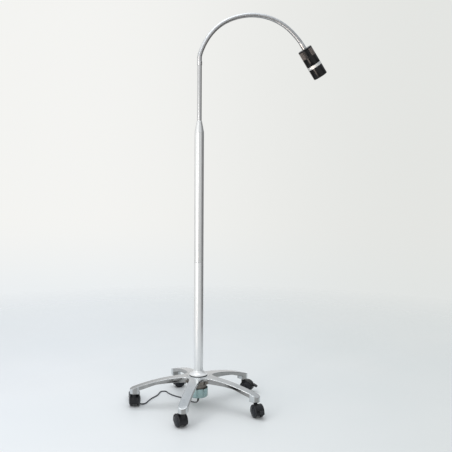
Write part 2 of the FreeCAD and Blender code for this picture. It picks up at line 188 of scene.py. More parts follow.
def lathe(profile, steps=96, carve=None):
    """Points and faces of a profile of (radius, z) points turned about Z. A profile that
    starts and ends at radius 0 is closed by the axis, another by itself. Where there is
    a carving, it moves each point outwards."""
    on_axis = profile[0][0] == 0 and profile[-1][0] == 0
    points = []
    rings = []
    for radius, z in profile:
        if radius == 0:
            rings.append([len(points)])
            points.append((0, 0, z))
            continue
        rings.append(list(range(len(points), len(points) + steps)))
        for k in range(steps):
            degrees = 360 * k / steps
            carved = carve(radius, degrees, z) if carve else 0
            points.append((*polar(radius + carved, degrees), z))
    pairs = list(zip(rings, rings[1:]))
    if not on_axis:
        pairs.append((rings[-1], rings[0]))
    faces = []
    for low, high in pairs:
        for k in range(steps):
            n = (k + 1) % steps
            corners = [low[k % len(low)], low[n % len(low)], high[n % len(high)], high[k % len(high)]]
            face = list(dict.fromkeys(corners))
            if len(face) > 2:
                faces.append(face)
    return points, faces


def tube_faces(rings, around):
    """Faces of a closed tube whose rings of points follow each other."""
    faces = []
    for a in range(0, (rings - 1) * around, around):
        for k in range(around):
            n = (k + 1) % around
            faces.append((a + k, a + n, a + around + n, a + around + k))
    faces.append(tuple(reversed(range(around))))
    faces.append(tuple(range((rings - 1) * around, rings * around)))
    return faces


def strip_faces(count):
    """Faces of a closed strip whose rings have four points: two below, then two above."""
    faces = []
    last = 4 * (count - 1)
    for a in range(0, last, 4):
        b = a + 4
        faces += [(a, a + 1, b + 1, b), (a + 3, a + 2, b + 2, b + 3)]
        faces += [(a + 2, a, b, b + 2), (a + 1, a + 3, b + 3, b + 1)]
    return faces + [(0, 2, 3, 1), (last, last + 1, last + 3, last + 2)]


def worn_down(name, source, voxel, smooth, material, place=None):
    """A moulded or cast form: closed shells made one, with softened edges and corners."""
    drawn = in_scene(name + "_drawn", source.copy())
    obj = in_scene(name, source)
    remesh = obj.modifiers.new("one_skin", "REMESH")
    remesh.mode = "VOXEL"
    remesh.voxel_size = voxel * MM
    keep_to = obj.modifiers.new("true_faces", "SHRINKWRAP")
    keep_to.target = drawn
    keep_to.wrap_method = "NEAREST_SURFACEPOINT"
    soften = obj.modifiers.new("soft_edges", "SMOOTH")
    soften.factor = 0.5
    soften.iterations = smooth
    graph = bpy.context.evaluated_depsgraph_get()
    mesh = bpy.data.meshes.new_from_object(obj.evaluated_get(graph))
    obj.modifiers.clear()
    bpy.data.objects.remove(drawn)
    obj.data = mesh
    mesh.name = name
    mesh.materials.clear()
    mesh.materials.append(material)
    finish_mesh(mesh, 50)
    if place is not None:
        obj.matrix_world = place
    return obj


def cad_copy(node, place=None):
    """A CAD node's mesh as a new one, brought back to a frame of its own."""
    mesh = NODES[node].data.copy()
    if place is not None:
        mesh.transform(place.inverted())
    with edited(mesh) as work:
        bmesh.ops.remove_doubles(work, verts=work.verts, dist=1e-6)
    return mesh


def with_shells(mesh, shells):
    """Adds closed shells of (points in millimetres, faces) to a mesh."""
    with edited(mesh) as work:
        for points, faces in shells:
            corners = [work.verts.new(Vector(p) * MM) for p in points]
            made = [work.faces.new([corners[i] for i in face]) for face in faces]
            bmesh.ops.recalc_face_normals(work, faces=made)
    return mesh


def dress(obj, body, nodes=()):
    """Rides on its body and hides the CAD nodes that it stands for."""
    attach(obj, body)
    if nodes:
        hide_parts(*nodes)
    return obj


def turned_part(name, profile, material, body, node, place=None, soft=0.4, steps=96):
    """A turned piece that rides on its body in place of one CAD node, its corners
    softened by so many millimetres."""
    on_axis = profile[0][0] == 0 and profile[-1][0] == 0
    smooth = softened(profile, soft, closed=not on_axis) if soft else profile
    points, faces = lathe(smooth, steps)
    return dress(make(name, points, faces, [material], place), body, [node])


# ---- materials ----
class Tree:
    """Short calls that add nodes to the node tree of a material or of the world."""

    def __init__(self, owner):
        owner.use_nodes = True
        self.nodes = owner.node_tree.nodes
        self.links = owner.node_tree.links

    def node(self, kind, inputs, **settings):
        """A new node, set first, then fed with other nodes' sockets and plain values."""
        made = self.nodes.new("ShaderNode" + kind)
        for name, value in settings.items():
            setattr(made, name, value)
        for key, value in inputs.items():
            if isinstance(value, bpy.types.NodeSocket):
                self.links.new(value, made.inputs[key])
            else:
                made.inputs[key].default_value = value
        return made

    def math(self, operation, first, second):
        return self.node("Math", {0: first, 1: second}, operation=operation).outputs[0]

    def band(self, value, low, high, first=0.0, last=1.0, kind="LINEAR"):
        """A value carried from one range to another, held at its ends."""
        ends = {"From Min": low, "From Max": high, "To Min": first, "To Max": last}
        made = self.node("MapRange", {"Value": value, **ends}, interpolation_type=kind)
        return made.outputs["Result"]

    def ramp(self, value, stops, kind="LINEAR"):
        made = self.node("ValToRGB", {"Fac": value})
        made.color_ramp.interpolation = kind
        elements = made.color_ramp.elements
        while len(elements) < len(stops):
            elements.new(0.5)
        for element, (place, colour) in zip(elements, stops):
            element.position = place
            element.color = (*colour, 1)
        return made.outputs["Color"]

    def mixed(self, share, first, second):
        """Mixes two colours, each a socket or three numbers."""
        a, b = [(*c, 1) if isinstance(c, tuple) else c for c in (first, second)]
        return self.node("Mix", {0: share, 6: a, 7: b}, data_type="RGBA").outputs[2]

    def split(self, vector):
        return self.node("SeparateXYZ", {0: vector}).outputs


class Finish(Tree):
    """One procedural material: a Principled shader and short calls that feed it."""

    def __init__(self, name, **constants):
        self.material = bpy.data.materials.new(name)
        super().__init__(self.material)
        self.shader = self.nodes["Principled BSDF"]
        for socket, value in constants.items():
            self.shader.inputs[socket.replace("_", " ")].default_value = value
        self.where = self.nodes.new("ShaderNodeTexCoord").outputs["Object"]
        self.height = None

    def noise(self, scale, detail=3.0, rough=0.5, stretch=None):
        """Noise in object coordinates, stretched for brushed or drawn marks."""
        where = self.where
        if stretch:
            where = self.node("Mapping", {"Vector": where, "Scale": stretch}).outputs["Vector"]
        fed = {"Scale": scale, "Detail": detail, "Roughness": rough, "Vector": where}
        return self.node("TexNoise", fed).outputs["Fac"]

    def attribute(self, name):
        return self.node("Attribute", {}, attribute_name=name).outputs["Fac"]

    def tones(self, darker, lighter, *grain):
        """A colour that wanders between two tones."""
        return self.ramp(self.noise(*grain), [(0.3, darker), (0.7, lighter)])

    def colour(self, socket):
        self.links.new(socket, self.shader.inputs["Base Color"])

    def roughness(self, value, low, high):
        self.links.new(self.band(value, 0.3, 0.7, low, high), self.shader.inputs["Roughness"])

    def bump(self, value, strength, distance):
        """Adds a bump over the ones before it. The distance is in metres."""
        fed = {"Strength": strength, "Distance": distance, "Height": value}
        if self.height is not None:
            fed["Normal"] = self.height
        self.height = self.node("Bump", fed).outputs["Normal"]
        self.links.new(self.height, self.shader.inputs["Normal"])

    def surface(self, gloss, low, high, grain, strength, distance):
        """Roughness between two values, and a bump, each from a noise of its own."""
        self.roughness(self.noise(*gloss), low, high)
        self.bump(self.noise(*grain), strength, distance)


def mottled(name, darker, lighter, tone, gloss, low, high, grain, strength, distance, **constants):
    """A finish with three noises, for its tone, its roughness and its bump."""
    f = Finish(name, **constants)
    f.colour(f.tones(darker, lighter, *tone))
    f.surface(gloss, low, high, grain, strength, distance)
    return f.material


def cast_aluminium():
    """Polished die casting, bright outside; dull, brownish as-cast metal underneath, darkened further
    there by painted shade and painted dark reflections.
    """
    f = Finish("polished_casting", Metallic=1.0)
    base = f.tones((0.56, 0.585, 0.60), (0.68, 0.70, 0.71), 14, 4, 0.6)
    marks = f.band(f.noise(60, 5, 0.7, (1, 1, 6)), 0.5, 0.75, 0.0, 0.25)
    base = f.mixed(marks, base, (0.47, 0.46, 0.44))
    # the dark tones: dull as-cast metal, and also painted shade and painted dark reflection wherever
    # the mask says so
    dull_cast_and_shade = f.tones((0.13, 0.115, 0.10), (0.24, 0.22, 0.20), 45, 5, 0.65)
    f.colour(f.mixed(f.attribute("as_cast_and_shade"), base, dull_cast_and_shade))
    f.bump(f.noise(24, 2, 0.4), 0.06, 0.0006)
    f.surface((38, 4, 0.6), 0.10, 0.20, (1500, 2, 0.5), 0.03, 0.0001)
    return f.material


def silver_paint(name, tone, metallic, low, high):
    """Satin silver paint with fine flake and faint orange peel."""
    f = Finish(name, Metallic=metallic, Coat_Weight=0.15, Coat_Roughness=0.25)
    flake = f.ramp(f.noise(2600, 2, 0.6), [(0.35, tuple(c * 0.95 for c in tone)), (0.65, tone)])
    handled = f.band(f.noise(9, 3, 0.6), 0.5, 0.8, 0.0, 0.12)
    f.colour(f.mixed(handled, flake, tuple(c * 0.86 for c in tone)))
    f.surface((30, 3, 0.5), low, high, (420, 2, 0.4), 0.05, 0.0003)
    return f.material


def gooseneck_steel():
    """Wound steel strip: bright crowns, and painted shade that darkens the steel deep in each groove.
    """
    f = Finish("wound_steel", Metallic=1.0)
    crown = f.tones((0.50, 0.515, 0.53), (0.62, 0.63, 0.64), 90, 4, 0.6)
    # painted shade: the deeper a point lies in its groove, the darker it is painted
    groove = f.band(f.attribute("groove"), 0.3, 1.0, 0.0, 0.7)
    f.colour(f.mixed(groove, crown, (0.16, 0.16, 0.165)))
    f.surface((160, 4, 0.6), 0.24, 0.36, (1800, 2, 0.5), 0.06, 0.0001)
    return f.material


def zinc_plate():
    """Blue-passivated zinc: a green-blue cast with straw-coloured patches."""
    f = Finish("blue_zinc", Metallic=1.0)
    f.colour(f.ramp(f.noise(22, 3, 0.5), [
        (0.30, (0.30, 0.42, 0.43)), (0.55, (0.37, 0.49, 0.48)), (0.75, (0.47, 0.53, 0.46)),
    ]))
    f.surface((60, 4, 0.6), 0.2, 0.34, (380, 3, 0.5), 0.06, 0.0004)
    return f.material


def moulded_black(name, tone, low, high, grain=1700, depth=0.12, dust=0.0):
    """Moulded plastic with a fine grain, scuffs, and floor dust on what is low."""
    f = Finish(name, Specular_IOR_Level=0.32)
    base = f.tones(tone, tuple(c * 1.6 for c in tone), 60, 4, 0.6)
    scuff = f.band(f.noise(210, 6, 0.75), 0.60, 0.74, 0.0, 0.35)
    base = f.mixed(scuff, base, tuple(c * 2.4 + 0.01 for c in tone))
    if dust:
        low_down = f.band(f.split(f.where)["Z"], 0.0, 0.030, dust, 0.0)
        base = f.mixed(low_down, base, (0.16, 0.155, 0.15))
    f.colour(base)
    f.surface((75, 4, 0.6), low, high, (grain, 2, 0.5), depth, 0.00025)
    return f.material


def black_anodised():
    """Satin black: deep, faintly cool, with fine turning marks, and its ribbed panels painted paler
    as a painted sheen for the light the ribs catch.
    """
    f = Finish("satin_black", Specular_IOR_Level=0.3)
    base = f.ramp(f.noise(45, 5, 0.65), [
        (0.35, (0.0042, 0.0047, 0.0056)), (0.75, (0.0085, 0.0088, 0.0095)),
    ])
    # painted sheen: the ribbed panels are painted a paler brown-grey
    f.colour(f.mixed(f.attribute("ribbed"), base, (0.155, 0.135, 0.125)))
    f.surface((80, 4, 0.6), 0.15, 0.21, (1900, 2, 0.5), 0.05, 0.0001)
    return f.material


def cord_sheath():
    """Navy-black PVC with a dull skin and a little floor dust."""
    f = Finish("pvc_sheath", Specular_IOR_Level=0.45)
    base = f.tones((0.011, 0.013, 0.020), (0.022, 0.026, 0.038), 85, 4, 0.6)
    dust = f.band(f.noise(140, 5, 0.7), 0.58, 0.78, 0.0, 0.25)
    f.colour(f.mixed(dust, base, (0.09, 0.09, 0.095)))
    f.surface((110, 3, 0.5), 0.34, 0.5, (1400, 2, 0.5), 0.1, 0.0002)
    return f.material


def strap_fabric():
    """Woven hook tape: crossing ribs and a fuzzy sheen."""
    f = Finish("woven_tape", Sheen_Weight=0.4, Sheen_Roughness=0.5)
    f.colour(f.ramp(f.noise(700, 3, 0.6), [
        (0.35, (0.016, 0.016, 0.018)), (0.65, (0.045, 0.045, 0.05)),
    ]))
    f.roughness(f.noise(300, 3, 0.5), 0.7, 0.85)
    wave = f.node("TexWave", {"Scale": 900.0, "Distortion": 1.5, "Vector": f.where})
    f.bump(wave.outputs["Fac"], 0.4, 0.0003)
    return f.material


CASTING = cast_aluminium()
COLUMN_PAINT = silver_paint("satin_silver", (0.82, 0.835, 0.84), 0.9, 0.30, 0.38)
COLLAR_PAINT = silver_paint("silver_white", (0.84, 0.85, 0.855), 0.45, 0.36, 0.46)
NECK_STEEL = gooseneck_steel()
ZINC = zinc_plate()
HOOD_PLASTIC = moulded_black("castor_nylon", (0.006, 0.0065, 0.008), 0.30, 0.42, dust=0.06)
# the wheels' black is tinted bluer than the hoods' as a painted bluish sheen on their domed faces
WHEEL_PLASTIC = moulded_black("wheel_nylon", (0.006, 0.0075, 0.011), 0.22, 0.34, dust=0.08)
TREAD = moulded_black("wheel_tread", (0.016, 0.017, 0.019), 0.45, 0.60, 900, 0.2, dust=0.25)
PLUG_PLASTIC = moulded_black("plug_body", (0.016, 0.016, 0.018), 0.30, 0.44)
POTTING = moulded_black("potted_module", (0.020, 0.020, 0.024), 0.18, 0.30, 300, 0.2)
HEAD_BLACK = black_anodised()
SHEATH = cord_sheath()
STRAP = strap_fabric()
# name, darker and lighter tone, the tone's noise; the roughness noise and its range; the
# bump's noise, strength and distance
CHROME = mottled("polished_tube", (0.58, 0.59, 0.60), (0.66, 0.665, 0.67),
                 (30, 4, 0.6, (6, 6, 0.4)), (45, 4, 0.6), 0.17, 0.25,
                 (700, 2, 0.5, (1, 1, 0.1)), 0.03, 0.0001, Metallic=1.0)
IRON = mottled("oiled_casting", (0.13, 0.115, 0.10), (0.27, 0.25, 0.23), (40, 5, 0.65),
               (85, 4, 0.6), 0.36, 0.55, (420, 4, 0.6), 0.25, 0.0005, Metallic=0.75)
STEEL = mottled("bright_steel", (0.50, 0.505, 0.51), (0.63, 0.63, 0.635),
                (240, 4, 0.6, (1, 1, 5)), (120, 3, 0.6), 0.2, 0.35,
                (240, 4, 0.6, (1, 1, 5)), 0.08, 0.0002, Metallic=1.0)
SEAL_RUBBER, BUTTON_RUBBER = (
    mottled(name, (a, a, b), (1.5 * a, 1.5 * a, 1.5 * b), (110, 4, 0.6),
            (90, 3, 0.5), 0.5, 0.68, (1300, 3, 0.5), 0.16, 0.0002, Specular_IOR_Level=0.35)
    for name, a, b in (("soft_rubber", 0.018, 0.020), ("button_rubber", 0.030, 0.033))
)
RING_SILVER = mottled("knurled_silver", (0.84, 0.85, 0.84), (0.92, 0.925, 0.915), (120, 3, 0.6),
                      (200, 3, 0.5), 0.34, 0.46, (2200, 2, 0.5), 0.06, 0.0001, Metallic=1.0)
BARE_ALUMINIUM = mottled("machined_aluminium", (0.60, 0.61, 0.62), (0.74, 0.745, 0.75),
                         (500, 3, 0.6, (1, 1, 0.2)), (90, 3, 0.5), 0.26, 0.4,
                         (500, 3, 0.6, (1, 1, 0.2)), 0.1, 0.0002, Metallic=1.0)
LENS_GLASS = mottled("clear_lens", (0.90, 0.935, 0.94), (0.96, 0.975, 0.98), (25, 2, 0.5),
                     (140, 3, 0.5), 0.02, 0.07, (260, 2, 0.5), 0.02, 0.0001,
                     Transmission_Weight=0.92, IOR=1.49, Coat_Weight=0.3)
LED_BOARD = mottled("light_engine", (0.78, 0.70, 0.30), (0.86, 0.80, 0.46), (160, 3, 0.6),
                    (120, 3, 0.5), 0.25, 0.42, (900, 2, 0.5), 0.08, 0.0002)
NYLON = mottled("natural_nylon", (0.70, 0.68, 0.62), (0.80, 0.785, 0.74), (70, 4, 0.6),
                (90, 3, 0.5), 0.4, 0.55, (800, 2, 0.5), 0.1, 0.0002, Subsurface_Weight=0.1)


# ---- what stays of the CAD ----
def inner_parts():
    """Gives the CAD nodes that stay a finish of their own."""
    finishes = {
        "castor_stems": STEEL, "cable_nipple": STEEL, "power_driver": POTTING,
        "joint_spigot": STEEL, "arm_bush": NYLON, "column_lead": SHEATH,
        "heat_sink": BARE_ALUMINIUM, "led_board": LED_BOARD,
    }
    finishes.update(("castor_%d_axle" % number, STEEL) for number in range(1, 6))
    for node, material in finishes.items():
        NODES[node].data.materials.clear()
        NODES[node].data.materials.append(material)


# ---- base ----
LEG_TOP = ((30.0, 133.4), (165.0, 119.0), (297.4, 82.0))
LEG_HALF_WIDTH = 26.5
LEG_GAP_DEG = 72.0
CROTCH_R = 25.0
FLANGE = 11.5
SOCKET_REACH = 27.0
CUP_SEAM_DEG = -73.0
CUP_SEAM_DEPTH = 0.014


def crotch_fillet(middle_deg, leg_gap_deg):
    """The web of metal that rounds the corner between two legs."""
    half = math.radians(leg_gap_deg / 2)
    reach = (CROTCH_R + LEG_HALF_WIDTH) / math.sin(half)
    centre = Vector(polar(reach, middle_deg))
    sweep = 90 - leg_gap_deg / 2
    rim = []
    steps = 14
    for k in range(steps + 1):
        degrees = middle_deg + 180 - sweep + 2 * sweep * k / steps
        rim.append(centre + Vector(polar(CROTCH_R, degrees)))
    rim.append(Vector((0.0, 0.0)))
    heights = dict(arc_through(*LEG_TOP, 60))
    radii = sorted(heights)
    tops = [float(np.interp(p.length, radii, [heights[r] for r in radii])) for p in rim]
    count = len(rim)
    points = [(p.x, p.y, z) for p, z in zip(rim, tops)]
    points += [(p.x, p.y, z - FLANGE) for p, z in zip(rim, tops)]
    faces = [(i, (i + 1) % count, count + (i + 1) % count, count + i) for i in range(count)]
    faces.append(tuple(range(count)))
    faces.append(tuple(range(count, 2 * count)))
    return points, faces


def as_cast_and_shade(vertex, stems):
    """How dull the casting is at a point, from 0 to 1, together with how much painted shade and
    painted dark reflection it carries: most by the hub and underneath.
    """
    place = vertex.co / MM
    # by the hub: a painted shadow in the crotches, over duller metal
    near_hub = eased((66 - place.xy.length) / 10) * eased((119 - place.z) / 5)
    # facing down: as-cast metal, darkened further as painted shade
    below = 0.85 * eased((-0.10 - vertex.normal.z) / 0.4)
    # sides of the legs and sockets: a painted dark reflection
    side = 0.62 * eased((0.30 - vertex.normal.z) / 0.25)
    stem = min(stems, key=lambda p: math.dist(p, place.xy))
    if math.dist(stem, place.xy) < SOCKET_REACH:
        around = math.atan2(place.y - stem[1], place.x - stem[0])
        # round each socket the sides' painted dark reflection comes and goes in three bands
        side *= eased(0.5 + 0.9 * math.sin(3 * around - 0.6))
    return max(near_hub, below, side)


def star_base():
    """Five legs from one casting: dull as-cast metal underneath and by the hub, with painted shade
    and painted dark reflection on the undersides, sides and crotches.
    """
    stems = [tuple(joint_place("castor_%d_swivel" % (i + 1)).xy) for i in range(5)]
    first_deg = math.degrees(math.atan2(stems[0][1], stems[0][0]))
    shells = [crotch_fillet(first_deg + LEG_GAP_DEG * (i + 0.5), LEG_GAP_DEG) for i in range(5)]
    mesh = with_shells(cad_copy("star_base"), shells)
    base = worn_down("cast_star_base", mesh, 1.2, 8, CASTING)
    mark(base, "as_cast_and_shade", [as_cast_and_shade(vertex, stems) for vertex in base.data.vertices])
    dress(base, "root", ["star_base"])


def hub():
    """The collar and its gasket on the star, and the socket that holds the column."""
    foot, top = heights("hub_collar")
    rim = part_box("hub_collar")[1].x / MM
    collar = [(20.05, foot), (rim - 0.7, foot), (rim, foot + 0.8), (rim, foot + 2.4)]
    collar += arc_through((rim - 0.7, foot + 3.2), (27.5, foot + 9.2), (21.2, top), 14)
    collar += [(20.05, top)]
    turned_part("column_collar", collar, COLLAR_PAINT, "root", "hub_collar")
    seal = [(20.05, foot - 2), (38.4, foot - 2), (38.4, foot), (20.05, foot)]
    turned_part("collar_gasket", seal, SEAL_RUBBER, "root", "collar_seal")
    sleeve = [
        (6.6, 58), (31.5, 58), (33, 59.5), (33.6, 63), (34.4, 74), (33.8, 75), (33.8, 77),
        (34.6, 78), (35.5, 99), (26, 99), (26, 134), (20, 134), (20, 64), (6.6, 64),
    ]
    turned_part("column_socket", sleeve, IRON, "root", "hub_sleeve")


def driver_cup():
    """A rolled cup with a rounded foot and a seam down its side."""
    foot, rim = heights("driver_cup")
    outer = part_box("driver_cup")[1].x / MM
    profile = [(6.5, foot)]
    profile += arc_through((outer - 5, foot), (outer - 1.5, foot + 1.5), (outer, foot + 5), 6)
    profile += [(outer, rim - 1.2), (outer - 0.7, rim), (outer - 1.9, rim), (outer - 2, rim - 2)]
    profile += arc_through((outer - 2, foot + 6), (outer - 3, foot + 3), (outer - 6, foot + 2), 6)
    profile += [(6.5, foot + 2)]
    cup = turned_part("pressed_cup", profile, ZINC, "root", "driver_cup", steps=360)
    for vertex in cup.data.vertices:
        place = vertex.co / MM
        if place.xy.length > outer - 0.5:
            off = abs(math.degrees(math.atan2(place.y, place.x)) - CUP_SEAM_DEG)
            sunk = 1 - CUP_SEAM_DEPTH * eased(1.6 - off) * eased((place.z - foot - 2) / 2)
            vertex.co *= Vector((sunk, sunk, 1))


# ---- castors ----
WHEEL_R = 25.0
TRAIL = 18.0


def castor_place(number):
    """The castor's own frame: its stem at the origin, its wheels trailing towards +X."""
    stem = joint_place("castor_%d_swivel" % number)
    hub_point = joint_place("castor_%d_left_spin" % number)
    trail = math.atan2(hub_point.y - stem.y, hub_point.x - stem.x)
    return Matrix.Translation(Vector((stem.x, stem.y, 0)) * MM) @ Matrix.Rotation(trail, 4, "Z")


def wheel_mesh():
    """A wheel whose axle lies along +Z, with its domed face outwards and up."""
    outline = [(3.2, 9.7), (17.2, 9.7), (18.4, 9.9)]
    outline += arc_through((18.6, 10.0), (22.4, 11.7), (24.4, 14.9), 6)
    outline += [(WHEEL_R, 15.8), (WHEEL_R, 18.0)]
    outline += arc_through((WHEEL_R - 0.8, 18.9), (16.5, 23.2), (7.4, 24.8), 12)
    outline += [(7.0, 24.1), (6.2, 24.1), (5.8, 25.0), (3.0, 25.2), (0, 25.2)]
    points, faces = lathe([(0, 9.7)] + outline, 72)
    obj = make("wheel_form", points, faces, [WHEEL_PLASTIC, TREAD], sharp_deg=30)
    for face in obj.data.polygons:
        middle = face.center / MM
        if math.hypot(middle.x, middle.y) > WHEEL_R - 0.9 and middle.z < 18.6:
            face.material_index = 1
    mesh = obj.data
    bpy.data.objects.remove(obj)
    return mesh


def hood_ribs():
    """A raised spine over the hood and a bead along each of its side edges."""
    shells = []
    steps = 48
    for side, half, lift in ((0.0, 5.5, 0.7), (-17.6, 1.2, 0.5), (17.6, 1.2, 0.5)):
        points = []
        for k in range(steps + 1):
            for radius in (27.4, 29.2 + lift):
                x, z = polar(radius, -18 + 219 * k / steps)
                points.append((TRAIL + x, side - half, WHEEL_R + z))
                points.append((TRAIL + x, side + half, WHEEL_R + z))
        shells.append((points, strip_faces(steps + 1)))
    return shells


def castors():
    """Five hoods from two forms, each with its two wheels, and the two brake levers."""
    wheel = wheel_mesh()
    forms = {}
    for number in range(1, 6):
        name = "castor_%d" % number
        place = castor_place(number)
        braked = name + "_brake_pedal" in NODES
        if braked not in forms:
            mesh = with_shells(cad_copy(name + "_hood", place), hood_ribs())
            made = worn_down("hood_form", mesh, 0.8, 2, HOOD_PLASTIC)
            forms[braked] = made.data
            bpy.data.objects.remove(made)
        hood = in_scene(name + "_cover", forms[braked], place)
        dress(hood, name, [name + "_hood"])
        axle = place @ Matrix.Translation((TRAIL * MM, 0, WHEEL_R * MM))
        for side, turn in (("left", -90), ("right", 90)):
            facing = axle @ Matrix.Rotation(math.radians(turn), 4, "X")
            disc = in_scene("%s_%s_disc" % (name, side), wheel, facing)
            node = "%s_wheel_%s" % (name, side)
            dress(disc, "%s_%s" % (name, side), [node])
        if braked:
            mesh = cad_copy(name + "_brake_pedal", place)
            lever = worn_down(name + "_lever", mesh, 0.5, 2, HOOD_PLASTIC, place)
            dress(lever, "brake_pedal_%d" % number, [name + "_brake_pedal"])


# ---- column and arm ----
def column():
    """Two painted tubes and the cone on top."""
    for node in ("lower_tube", "upper_tube"):
        z0, z1 = heights(node)
        tube = [(18.05, z0), (20, z0), (20, z1), (18.05, z1)]
        turned_part(node + "_painted", tube, COLUMN_PAINT, "root", node,
                    soft=0.6, steps=128)
    foot, tip = heights("top_cone")
    edge = foot + 12
    cone = [(9.9, foot), (17.95, foot), (17.95, edge), (20, edge), (20, edge + 2)]
    cone += arc_through((19.8, edge + 3), (15.6, edge + 25.5), (11.1, tip - 1.5), 8)
    cone += [(10.4, tip), (9.9, tip)]
    turned_part("cone_cap", cone, COLUMN_PAINT, "root", "top_cone", steps=128)


def arm():
    """The polished tube and the ferrule that joins it to the gooseneck."""
    z0, z1 = heights("arm_tube")
    rod = [(8, z0), (12.8, z0), (12.8, z0 + 7), (9.5, z0 + 7.6), (9.5, z1), (8, z1)]
    turned_part("polished_arm", rod, CHROME, "arm", "arm_tube")
    z0, z1 = heights("arm_ferrule")
    profile = [(9.55, z0), (10.3, z0), (10.8, z0 + 1)]
    profile += [(10.8, z0 + 5.4), (10.5, z0 + 5.8), (10.5, z0 + 6.6), (10.8, z0 + 7)]
    profile += [(10.8, z1 - 1), (10.3, z1), (5, z1), (5, z1 - 5), (9.55, z1 - 5)]
    turned_part("neck_socket", profile, CHROME, "arm", "arm_ferrule", soft=0.3)


# ---- gooseneck ----
NECK_R = 9.8
COIL_PITCH = 3.6
COIL_DEPTH = 0.75
RING_STEP = 0.45
NECK_AROUND = 36
NECK_FERRULE = 27.0


def head_frame():
    """The lamp head's own frame: its rear face at the origin, its light towards +Z."""
    forward = joint_axis("focus_turn")
    normal = joint_axis("neck_bend_1")
    across = normal.cross(forward).normalized()
    place = joint_place("focus_turn") - forward * 95.0
    columns = Matrix((across, normal, forward)).transposed().to_4x4()
    return Matrix.Translation(place) @ columns


HEAD = head_frame()
NECK_HINGES = [joint_place("neck_bend_%d" % (i + 1)) for i in range(8)]


def sleeve_ends():
    """Where the eight bending sleeves meet: the middles of the stiff links between them."""
    foot_z = heights("arm_ferrule")[1]
    first = Vector((0, 0, (foot_z + NECK_HINGES[0].z) / 2))
    ends = [first]
    for a, b in zip(NECK_HINGES, NECK_HINGES[1:]):
        ends.append((a + b) / 2)
    forward = joint_axis("focus_turn")
    ends.append(HEAD.translation - forward * NECK_FERRULE)
    return ends


def sleeve_line(begin, hinge, end, lead):
    """Points and directions along one sleeve, closely spaced, with a straight lead-in."""
    fine = 400
    points = []
    if lead > 0:
        points.append(begin - (hinge - begin).normalized() * lead)
    for k in range(fine + 1):
        t = k / fine
        points.append(begin * (1 - t) ** 2 + hinge * 2 * t * (1 - t) + end * t * t)
    along = [0.0]
    for a, b in zip(points, points[1:]):
        along.append(along[-1] + (b - a).length)
    count = round(along[-1] / RING_STEP)
    stations = np.linspace(0, along[-1], count + 1)
    columns = [np.interp(stations, along, [p[k] for p in points]) for k in range(3)]
    centres = [Vector(p) for p in zip(*columns)]
    directions = [
        (centres[min(i + 1, count)] - centres[max(i - 1, 0)]).normalized() for i in range(count + 1)
    ]
    directions[0] = (hinge - begin).normalized()
    directions[-1] = (end - hinge).normalized()
    return centres, directions, stations


def wound_radius(phase):
    """The wire's round crown, and how deep in the groove the point lies, from 0 to 1."""
    across = 2 * (phase % 1.0) - 1
    dip = 1 - math.sqrt(max(0.0, 1 - 0.96 * across * across))
    return NECK_R - COIL_DEPTH * dip, dip


def gooseneck():
    """Eight wound sleeves, one over each hinge, in place of the neck's root and links from the CAD.
    """
    ends = sleeve_ends()
    normal = joint_axis("neck_bend_1")
    foot_z = heights("arm_ferrule")[1]
    run = 0.0
    for i, hinge in enumerate(NECK_HINGES):
        lead = ends[0].z - foot_z if i == 0 else 0.0
        centres, directions, stations = sleeve_line(ends[i], hinge, ends[i + 1], lead)
        points = []
        grooves = []
        for centre, direction, station in zip(centres, directions, stations):
            side = normal.cross(direction).normalized()
            for k in range(NECK_AROUND):
                turn = k / NECK_AROUND
                radius, dip = wound_radius((run + station) / COIL_PITCH + turn)
                x, y = polar(radius, 360 * turn)
                points.append(centre + side * x + normal * y)
                grooves.append(dip)
        faces = tube_faces(len(centres), NECK_AROUND)
        sleeve = make("gooseneck_%d" % (i + 1), points, faces, [NECK_STEEL], sharp_deg=80)
        # each point's groove depth, which the steel reads to paint shade in the grooves
        mark(sleeve, "groove", grooves)
        run += stations[-1]
        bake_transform(sleeve)
        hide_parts("neck_link_%d" % i if i else "neck_root")


# ---- lamp head ----
HEAD_R = 32.5
HEAD_LENGTH = 140.0
RING_Z = 79.6
RING_END_Z = 92.6
LENS_Z = 100.6
RIB_PANELS = 3
FLUTES_DEG = -64.0
PANEL_HALF_DEG = 33.0
RIB_FIRST = 6.6
RIB_PITCH = 3.1
RIB_COUNT = 11
KNURL_TEETH = 100


def rib_share(degrees, z):
    """How far a point of the rear housing is inside a ribbed panel, from 0 to 1."""
    sector = 360 / RIB_PANELS
    off = abs((degrees - FLUTES_DEG) % sector - sector / 2)
    inside = eased((PANEL_HALF_DEG - off) / 2.5 + 0.5)
    end = RIB_FIRST + RIB_COUNT * RIB_PITCH
    corner = eased((end - z) / 1.2 + 0.5 - 1.2 * eased((off - PANEL_HALF_DEG + 9) / 9))
    start = eased((z - RIB_FIRST) / 1.0 + 0.5)
    return inside * corner * start


def housing_carving(degrees, z):
    """How far the rear housing's skin moves: ribs in the panels, shallow flutes between."""
    share = rib_share(degrees, z)
    rib = 0.5 - 0.5 * math.cos(2 * math.pi * (z - RIB_FIRST) / RIB_PITCH)
    rib = eased(rib * 1.5 - 0.25)
    sector = 360 / RIB_PANELS
    off = (degrees - FLUTES_DEG + sector / 2) % sector - sector / 2
    half = sector / 2 - PANEL_HALF_DEG
    fluted = eased((half - abs(off)) / 3.0) * eased((z - 4) / 3) * eased((42 - z) / 4)
    flute = 0.5 + 0.5 * math.cos(2 * math.pi * off / (half * 0.75))
    return -1.15 * share * (1 - rib) - fluted * (0.5 + 0.8 * flute)


